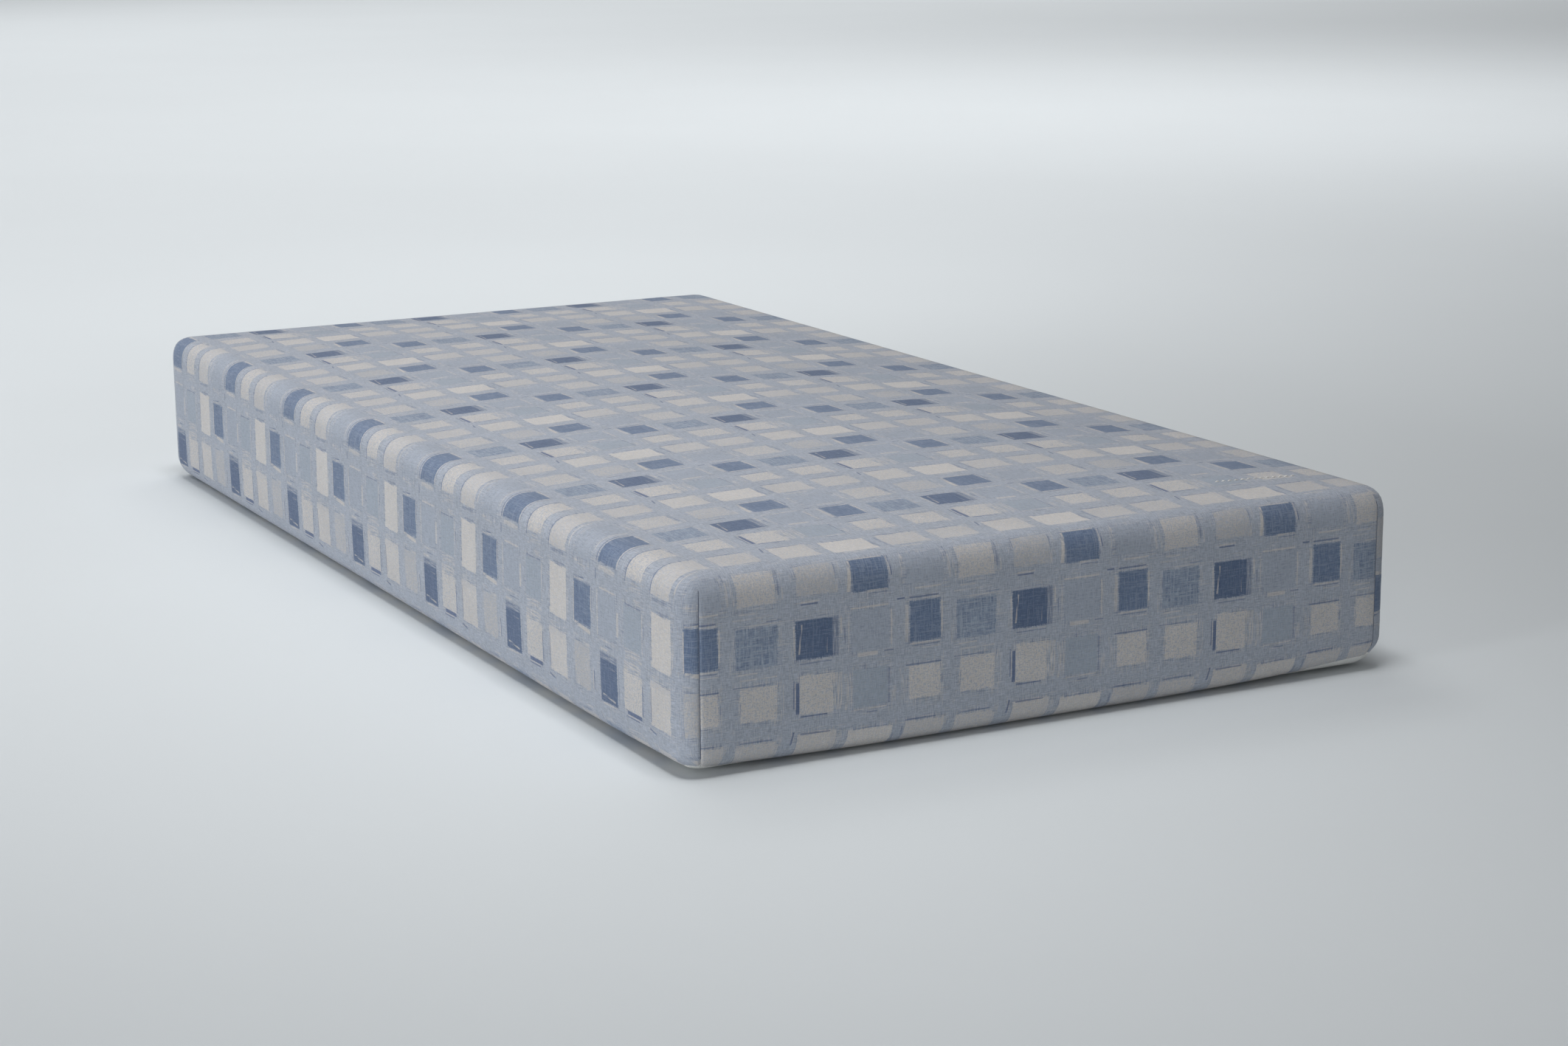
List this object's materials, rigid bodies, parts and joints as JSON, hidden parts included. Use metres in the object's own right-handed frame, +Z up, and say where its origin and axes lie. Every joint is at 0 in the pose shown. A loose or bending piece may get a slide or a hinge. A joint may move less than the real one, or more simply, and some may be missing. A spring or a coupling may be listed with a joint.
{
  "type": "memory foam mattress",
  "caption": "Low rectangular memory foam mattress with rounded edges in a square-patterned woven cover, with a zip across the head end.",
  "frame": {"origin": "middle of the underside, on the surface that the mattress lies on", "axes": "+X across the width, +Y along the length towards the head end with the zip, +Z up"},
  "size_m": [0.9652, 1.9091, 0.2286],
  "materials": {
    "memory_foam": "soft open-cell foam",
    "transition_foam": "soft open-cell foam",
    "base_foam": "firm open-cell foam",
    "sleeve": "fine rib knit",
    "cover_fabric": "woven jacquard, matt",
    "base_fabric": "matt woven cloth with raised grip dots",
    "seam_thread": "dark thread and folded cloth",
    "zip_tape": "herringbone tape",
    "zip_coil": "satin nylon coil",
    "zip_metal": "satin plated zinc",
    "label": "smooth satin tape, blank",
    "sleeve_thread": "white overlocked thread"
  },
  "bodies": {
    "mattress": {"memory_foam": "memory_foam", "transition_foam": "transition_foam", "base_foam": "base_foam", "sleeve_upper": "sleeve", "sleeve_lower": "sleeve", "sleeve_seam": "sleeve_thread", "top_cover": "cover_fabric", "base_cover": "base_fabric", "corner_seam_foot_left": "seam_thread", "corner_seam_foot_right": "seam_thread", "corner_seam_head_left": "seam_thread", "corner_seam_head_right": "seam_thread", "base_seam": "seam_thread", "zip_tape_upper": "zip_tape", "zip_tape_lower": "zip_tape", "zip_coil_upper": "zip_coil", "zip_coil_lower": "zip_coil", "zip_top_stop_upper": "zip_metal", "zip_top_stop_lower": "zip_metal", "zip_bottom_stop": "zip_metal", "care_label": "label"},
    "zip_slider": {"zip_slider": "zip_metal"},
    "zip_pull": {"zip_pull": "zip_metal"}
  },
  "joints": [
    {"name": "zip_slide", "type": "slide", "parent": "mattress", "child": "zip_slider", "axis": [1, 0, 0], "range_m": [-0.828, 0]},
    {"name": "pull_swing", "type": "hinge", "parent": "zip_slider", "child": "zip_pull", "pos_m": [0.4142, 0.95435, 0.055], "axis": [0, 0, 1], "range_deg": [0, 180]}
  ]
}
